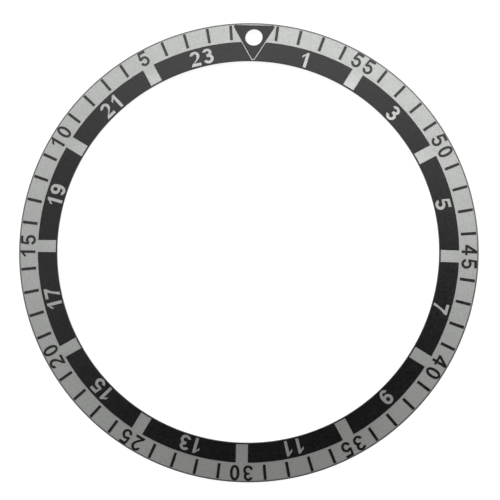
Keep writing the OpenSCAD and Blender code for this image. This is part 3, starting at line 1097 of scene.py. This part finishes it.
def build_tape(p):
    """The ring of tape under the back, with its hole round the pip's."""
    around = np.arange(0, 360, ARC_STEP)
    hole_r = PIP_HOLE_R + TAPE_HOLE_CLEARANCE
    loops = [
        ring_points(TAPE_OUTER_R, around),
        ring_points(TAPE_INNER_R, around),
        circle((0, PIP_R), hole_r, HOLE_STEPS),
    ]

    def from_hole(q):
        return np.hypot(q[:, 0], q[:, 1] - PIP_R)

    def inside(q):
        r = np.linalg.norm(q, axis=1)
        off_hole = from_hole(q) > hole_r * HOLE_SLACK
        return (r > TAPE_INNER_R * RING_SLACK) & (r < TAPE_OUTER_R) & off_hole

    rows = np.linspace(TAPE_INNER_R, TAPE_OUTER_R, TAPE_ROWS + 1)[1:-1]
    grid = ring_points(rows[:, None], around[None, ::2]).reshape(-1, 2)
    grid = grid[from_hole(grid) > hole_r * TAPE_GRID_RATIO]
    shell = Shell()
    edge = TAPE_EDGE_RATIO * TAPE_T
    levels = [(edge, 0, -60), (0, edge, 0), (0, TAPE_T - edge, 0), (edge, TAPE_T, 60)]
    slab(shell, flat_region(loops, inside, grid), levels, at_height(0.0), facing(1.0))
    tape = material("Adhesive tape", paint_tape, p)
    return shell.build("tape_ring", tape, "tape", "adhesive_ring")


def finish_print(shell, name, node, track, p):
    """Makes a piece of print for a node. Its track, band or mark, says which ink it is of."""
    sheen = getattr(p, f"{track}_sheen")
    ink = material(f"{track.title()} ink", paint_ink, getattr(p, f"{track}_colour"), sheen, p)
    return shell.build(f"print_{name}", ink, f"dark_{track}_print", node)


def build_hour_field(hour, p):
    """One charcoal field with its hour left bare, and off the triangle's surround."""
    bare = number_loops(hour, "hour", BAND_INNER_R + HOUR_LIFT, hour * HOUR_ANGLE, p)
    if hour in (HOURS[0], HOURS[-1]):
        bare.append(triangle_loop(TRIANGLE_LINE_W))
    shell = print_shell([field_loop(hour)], bare, p, p.band_spread / MM)
    name = f"hour_field_{hour:02d}"
    return finish_print(shell, name, name, "band", p)


def build_inner_line(p):
    """The thin dark line round the opening, narrowed at the triangle's point."""
    around = np.arange(0, 360, ARC_STEP)
    rings = [ring_points(BAND_INNER_R, around), ring_points(FACE_INNER_R, around)]
    surround = triangle_loop(TRIANGLE_LINE_W)
    shell = print_shell(rings, [surround], p, rise=LINE_RISE_RATIO * PRINT_T)
    return finish_print(shell, "inner_line", "inner_edge_line", "band", p)


def build_triangle(p):
    """The dark triangle round the pip hole."""
    loops = [triangle_loop(), circle((0, PIP_R), PIP_HOLE_R, HOLE_STEPS)]
    shell = print_shell(loops, [], p, p.band_spread / MM)
    return finish_print(shell, "triangle", "triangle_mark", "band", p)


def build_minute_marks(p):
    """The minute marks: one bar of ink, repeated at every minute without a numeral."""
    y = np.linspace(MARK_INNER_R, MARK_OUTER_R, MARK_STEPS + 1)
    x = np.full(len(y), MARK_W / 2)
    loop = np.vstack([np.c_[x, y], np.c_[-x, y[::-1]]])
    mark = print_shell([loop], [], p, p.mark_spread / MM)
    minutes = [m for m in range(MINUTES_ROUND) if m % MINUTES_PER_NUMERAL]
    marks = mark.repeated([m * MINUTE_ANGLE for m in minutes])
    return finish_print(marks, "minute_marks", "minute_marks", "mark", p)


def build_minute_numeral(minutes, p):
    """One minute numeral. The minutes count down clockwise from the triangle."""
    turn = -minutes * MINUTE_ANGLE
    loops = number_loops(minutes, "minute", MARK_INNER_R + MINUTE_LIFT, turn, p)
    shell = print_shell(loops, [], p, p.mark_spread / MM)
    name = f"minute_numeral_{minutes:02d}"
    return finish_print(shell, name, name, "mark", p)


# Stage


def make_floor(p):
    """Large floor just under the tape."""
    half, z = p.floor_size / 2, -p.floor_gap
    corners = [(-half, -half, z), (half, -half, z), (half, half, z), (-half, half, z)]
    mesh = bpy.data.meshes.new("floor")
    mesh.from_pydata(corners, [], [(0, 1, 2, 3)])
    mesh.materials.append(material("White floor", paint_backdrop, p))
    floor = bpy.data.objects.new("floor", mesh)
    bpy.context.scene.collection.objects.link(floor)


def make_world(p):
    """Plain dim surroundings above, white to the camera and below the horizon.

    Scattered light meets a dimmer white below, like the light that a pale table returns.
    """
    world = bpy.data.worlds.new("Studio")
    bpy.context.scene.world = world
    world.use_nodes = True
    world.node_tree.nodes.clear()
    nodes = Nodes(world.node_tree)
    paths = nodes.add("LightPath")
    direction = nodes.add("TexCoord")["Generated"]
    below = nodes.under(nodes.add("SeparateXYZ", {0: direction})["Z"], 0.0)
    returned = nodes.times(paths["Is Diffuse Ray"], p.table_light)
    white = nodes.most(paths["Is Glossy Ray"], paths["Is Transmission Ray"], returned)
    white = nodes.most(nodes.times(white, below), paths["Is Camera Ray"])
    strength = nodes.plus(nodes.times(white, 1 - p.ambient), p.ambient)
    background = nodes.add("Background", {"Strength": strength})[0]
    nodes.add("OutputWorld", {"Surface": background})


def make_lamp(name, bearing, tilt, distance, size, radiance):
    """Round softbox that looks at the ring from a clockwise bearing and a tilt.

    The tilt is from straight up. A disc of diameter d shines with radiance L where its
    power is L * pi * its area.
    """
    lamp = bpy.data.lights.new(name, "AREA")
    lamp.shape = "DISK"
    lamp.size = size
    lamp.energy = radiance * math.pi * math.pi * size**2 / 4
    made = bpy.data.objects.new(name, lamp)
    level = math.sin(tilt)
    away = Vector((math.sin(bearing) * level, math.cos(bearing) * level, math.cos(tilt)))
    made.matrix_world = Matrix.Translation(away * distance) @ (
        away.to_track_quat("Z", "Y").to_matrix().to_4x4()
    )
    bpy.context.scene.collection.objects.link(made)


def make_camera(p):
    """Camera that looks at a point on the axis's top, turned a little about its view."""
    camera = bpy.data.cameras.new("camera")
    camera.lens = p.lens
    camera.clip_start, camera.clip_end = 0.01, 10
    made = bpy.data.objects.new("camera", camera)
    place, aim = Vector(p.camera_place), Vector(p.camera_aim)
    back = (place - aim).normalized()
    right = Vector((0, 1, 0)).cross(back).normalized()
    up = back.cross(right)
    upright = Matrix((right, up, back)).transposed().to_4x4()
    roll = Matrix.Rotation(p.camera_roll, 4, "Z")
    made.matrix_world = Matrix.Translation(place) @ upright @ roll
    bpy.context.scene.collection.objects.link(made)
    bpy.context.scene.camera = made


# Settings


def length(name, description, default):
    """A length property whose default is given in millimetres."""
    return bpy.props.FloatProperty(
        name=name, description=description, default=default * MM, min=0,
        unit="LENGTH", subtype="DISTANCE", precision=5,
    )


def colour(name, description, default):
    """A colour property."""
    return bpy.props.FloatVectorProperty(
        name=name, description=description, default=default, min=0, max=1, subtype="COLOR"
    )


def position(name, description, default):
    """A property that holds a place in metres."""
    return bpy.props.FloatVectorProperty(
        name=name, description=description, default=default, subtype="TRANSLATION", precision=5
    )


def angle(name, description, default):
    """An angle property whose default is given in degrees."""
    return bpy.props.FloatProperty(
        name=name, description=description, default=math.radians(default), subtype="ANGLE"
    )


def share(name, description, default, most=1.0):
    """A plain number from nothing to a most."""
    return bpy.props.FloatProperty(
        name=name, description=description, default=default, min=0, max=most
    )


class RingSettings(bpy.types.PropertyGroup):
    """Looks of the aluminium ring and of its tape."""

    edge_radius: length("Edge radius", "Rounding of the ring's edges", 0.012)
    metal_colour: colour("Metal", "Colour of the bare aluminium", (0.458, 0.468, 0.452))
    metal_roughness: share("Roughness", "Mean roughness of the metal", 0.62)
    grain_per_mm: share("Grain per mm", "Features of the grain in a millimetre", 7.0, 100)
    grain_contrast: share("Grain contrast", "Change of lightness by the grain", 0.09)
    grain_depth: length("Grain depth", "Height of the grain", 0.003)
    # Painted shade: how light the turned outer edge is painted, over the face's lightness
    edge_tone: share("Edge tone", "Lightness of the turned outer edge over the face's", 0.46)
    # Smoother towards the opening, and painted lighter there by the same share, a painted
    # highlight
    inner_gloss: share("Inner gloss", "How much smoother the face is towards the opening", 0.05)
    wall_coat: length("Wall coat", "Thickness of the clear coat on the opening's wall", 0.025)
    wall_polish: share("Wall polish", "Roughness of the opening's wall over the face's", 0.35)
    bevel_ink: share("Bevel ink", "How much ink has run over the bevel at the opening", 0.75)
    edge_wear: share("Edge wear", "How much the edges shine", 0.3)
    tape_colour: colour("Tape", "Colour of the tape", (0.8, 0.78, 0.7))


class PrintSettings(bpy.types.PropertyGroup):
    """Looks and numeral sizes of the print."""

    band_colour: colour("Band ink", "Colour of the hour band", (0.0055, 0.0055, 0.0055))
    mark_colour: colour("Mark ink", "Colour of the minute track", (0.004, 0.0045, 0.004))
    ink_roughness: share("Roughness", "Mean roughness of the ink", 0.36)
    band_sheen: share("Band sheen", "Strength of the band's mirror-like part", 0.43)
    mark_sheen: share("Mark sheen", "Strength of the minute track's mirror-like part", 0.55)
    rim_wear: share("Rim wear", "How pale the thin rim of the ink is", 0.1)
    ink_edge: length("Ink edge", "Width over which the ink's edge is rounded", 0.004)
    band_spread: length("Band spread", "How far the ink of the hour band has run", 0.007)
    mark_spread: length("Mark spread", "How far the ink of the minute track has run", 0.014)
    hour_width: length("Hour width", "Width of most hour digits", 0.875)
    hour_height: length("Hour height", "Height of the hour digits", 1.298)
    hour_stroke: length("Hour stroke", "Stroke of the hour digits", 0.27)
    hour_gap: length("Hour gap", "Gap between two hour digits", 0.22)
    hour_one_gap: length("Hour gap at a 1", "Extra gap beside an hour's 1", 0.11)
    minute_width: length("Minute width", "Width of most minute digits", 0.78)
    minute_height: length("Minute height", "Height of the minute digits", 1.25)
    minute_stroke: length("Minute stroke", "Stroke of the minute digits", 0.185)
    minute_gap: length("Minute gap", "Gap between two minute digits", 0.335)
    minute_one_gap: length("Minute gap at a 1", "Extra gap beside a minute's 1", 0.165)


class StageSettings(bpy.types.PropertyGroup):
    """Floor, light and camera."""

    floor_size: length("Floor size", "Side of the square floor", 4000)
    floor_gap: length("Floor gap", "Distance of the floor under the tape", 0.005)
    floor_glow: share("Floor glow", "White that the floor shows by itself", 0.955, 2)
    floor_grey: share("Floor grey", "Share of the light that the floor scatters", 0.16)
    ambient: share("Ambient", "Level of the surroundings", 0.002, 10)
    table_light: share("Table light", "Level of the light from below", 0.6)
    key_radiance: share("Key", "Brightness of the main softbox", 2.4, 100)
    key_bearing: angle("Key bearing", "Clockwise angle of the key from the triangle", -13)
    right_radiance: share("Right fill", "Brightness of the right softbox", 3.6, 100)
    right_bearing: angle("Right bearing", "Clockwise angle of the right fill", 50)
    left_radiance: share("Left fill", "Brightness of the left softbox", 1.55, 100)
    left_bearing: angle("Left bearing", "Clockwise angle of the left fill", -92)
    key_tilt: angle("Key tilt", "Angle of the key from straight up", 45)
    fill_tilt: angle("Fill tilt", "Angle of the fills from straight up", 55)
    lamp_distance: length("Lamp distance", "Distance of the softboxes", 600)
    lamp_size: length("Lamp size", "Diameter of the softboxes", 620)
    lens: bpy.props.FloatProperty(
        name="Lens", description="Focal length of the camera", default=178.577,
        subtype="DISTANCE_CAMERA", unit="CAMERA",
    )
    camera_place: position(
        "Camera place", "Where the camera stands", (0.010329, -0.012771, 0.204570)
    )
    camera_aim: position(
        "Camera aim", "Point that the camera looks at", (0.000175, 0.000111, 0.000550)
    )
    camera_roll: angle("Camera roll", "Turn of the camera about its view", 1.626)


# Operators


class BEZEL_OT_ring(bpy.types.Operator):
    """Build the aluminium ring"""

    bl_idname = "bezel.ring"
    bl_label = "Build Ring"

    def execute(self, context):
        build_ring(context.scene.bezel_ring)
        return {"FINISHED"}


class BEZEL_OT_tape(bpy.types.Operator):
    """Build the ring of tape under the back"""

    bl_idname = "bezel.tape"
    bl_label = "Build Tape"

    def execute(self, context):
        build_tape(context.scene.bezel_ring)
        return {"FINISHED"}


class BEZEL_OT_hour_band(bpy.types.Operator):
    """Build the hour fields and the thin line round the opening"""

    bl_idname = "bezel.hour_band"
    bl_label = "Build Hour Band"

    def execute(self, context):
        settings = context.scene.bezel_print
        for hour in HOURS:
            build_hour_field(hour, settings)
        build_inner_line(settings)
        return {"FINISHED"}


class BEZEL_OT_triangle(bpy.types.Operator):
    """Build the dark triangle round the pip hole"""

    bl_idname = "bezel.triangle"
    bl_label = "Build Triangle"

    def execute(self, context):
        build_triangle(context.scene.bezel_print)
        return {"FINISHED"}


class BEZEL_OT_minute_track(bpy.types.Operator):
    """Build the minute marks and the minute numerals"""

    bl_idname = "bezel.minute_track"
    bl_label = "Build Minute Track"

    def execute(self, context):
        settings = context.scene.bezel_print
        build_minute_marks(settings)
        for minutes in MINUTES:
            build_minute_numeral(minutes, settings)
        return {"FINISHED"}


class BEZEL_OT_stage(bpy.types.Operator):
    """Set up the floor, the light and the camera"""

    bl_idname = "bezel.stage"
    bl_label = "Set Up Stage"

    def execute(self, context):
        p = context.scene.bezel_stage
        context.scene.view_settings.view_transform = "Standard"
        make_floor(p)
        make_world(p)
        for name, bearing, tilt, radiance in (
            ("key", p.key_bearing, p.key_tilt, p.key_radiance),
            ("right fill", p.right_bearing, p.fill_tilt, p.right_radiance),
            ("left fill", p.left_bearing, p.fill_tilt, p.left_radiance),
        ):
            make_lamp(name, bearing, tilt, p.lamp_distance, p.lamp_size, radiance)
        make_camera(p)
        return {"FINISHED"}


class BEZEL_PT_panel(bpy.types.Panel):
    """Settings of the insert and buttons that build its pieces"""

    bl_label = "Bezel Insert"
    bl_idname = "BEZEL_PT_panel"
    bl_space_type = "VIEW_3D"
    bl_region_type = "UI"
    bl_category = "Bezel Insert"

    def draw(self, context):
        for group, _, operators in PANEL_ROWS:
            box = self.layout.box()
            settings = getattr(context.scene, group)
            for prop in settings.bl_rna.properties:
                if prop.identifier not in ("rna_type", "name"):
                    box.prop(settings, prop.identifier)
            for operator in operators:
                box.operator(operator.bl_idname)


PANEL_ROWS = (
    ("bezel_ring", RingSettings, (BEZEL_OT_ring, BEZEL_OT_tape)),
    (
        "bezel_print",
        PrintSettings,
        (BEZEL_OT_hour_band, BEZEL_OT_triangle, BEZEL_OT_minute_track),
    ),
    ("bezel_stage", StageSettings, (BEZEL_OT_stage,)),
)
CLASSES = (
    *(settings for _, settings, _ in PANEL_ROWS),
    *(operator for _, _, operators in PANEL_ROWS for operator in operators),
    BEZEL_PT_panel,
)


def register():
    for cls in CLASSES:
        bpy.utils.register_class(cls)
    for name, settings, _ in PANEL_ROWS:
        setattr(bpy.types.Scene, name, bpy.props.PointerProperty(type=settings))


def unregister():
    for name, _, _ in PANEL_ROWS:
        delattr(bpy.types.Scene, name)
    for cls in reversed(CLASSES):
        bpy.utils.unregister_class(cls)


def main():
    """Builds everything in order."""
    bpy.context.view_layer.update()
    register()
    bpy.ops.bezel.ring()
    bpy.ops.bezel.tape()
    bpy.ops.bezel.hour_band()
    bpy.ops.bezel.triangle()
    bpy.ops.bezel.minute_track()
    bpy.ops.bezel.stage()


if __name__ == "__main__":
    main()
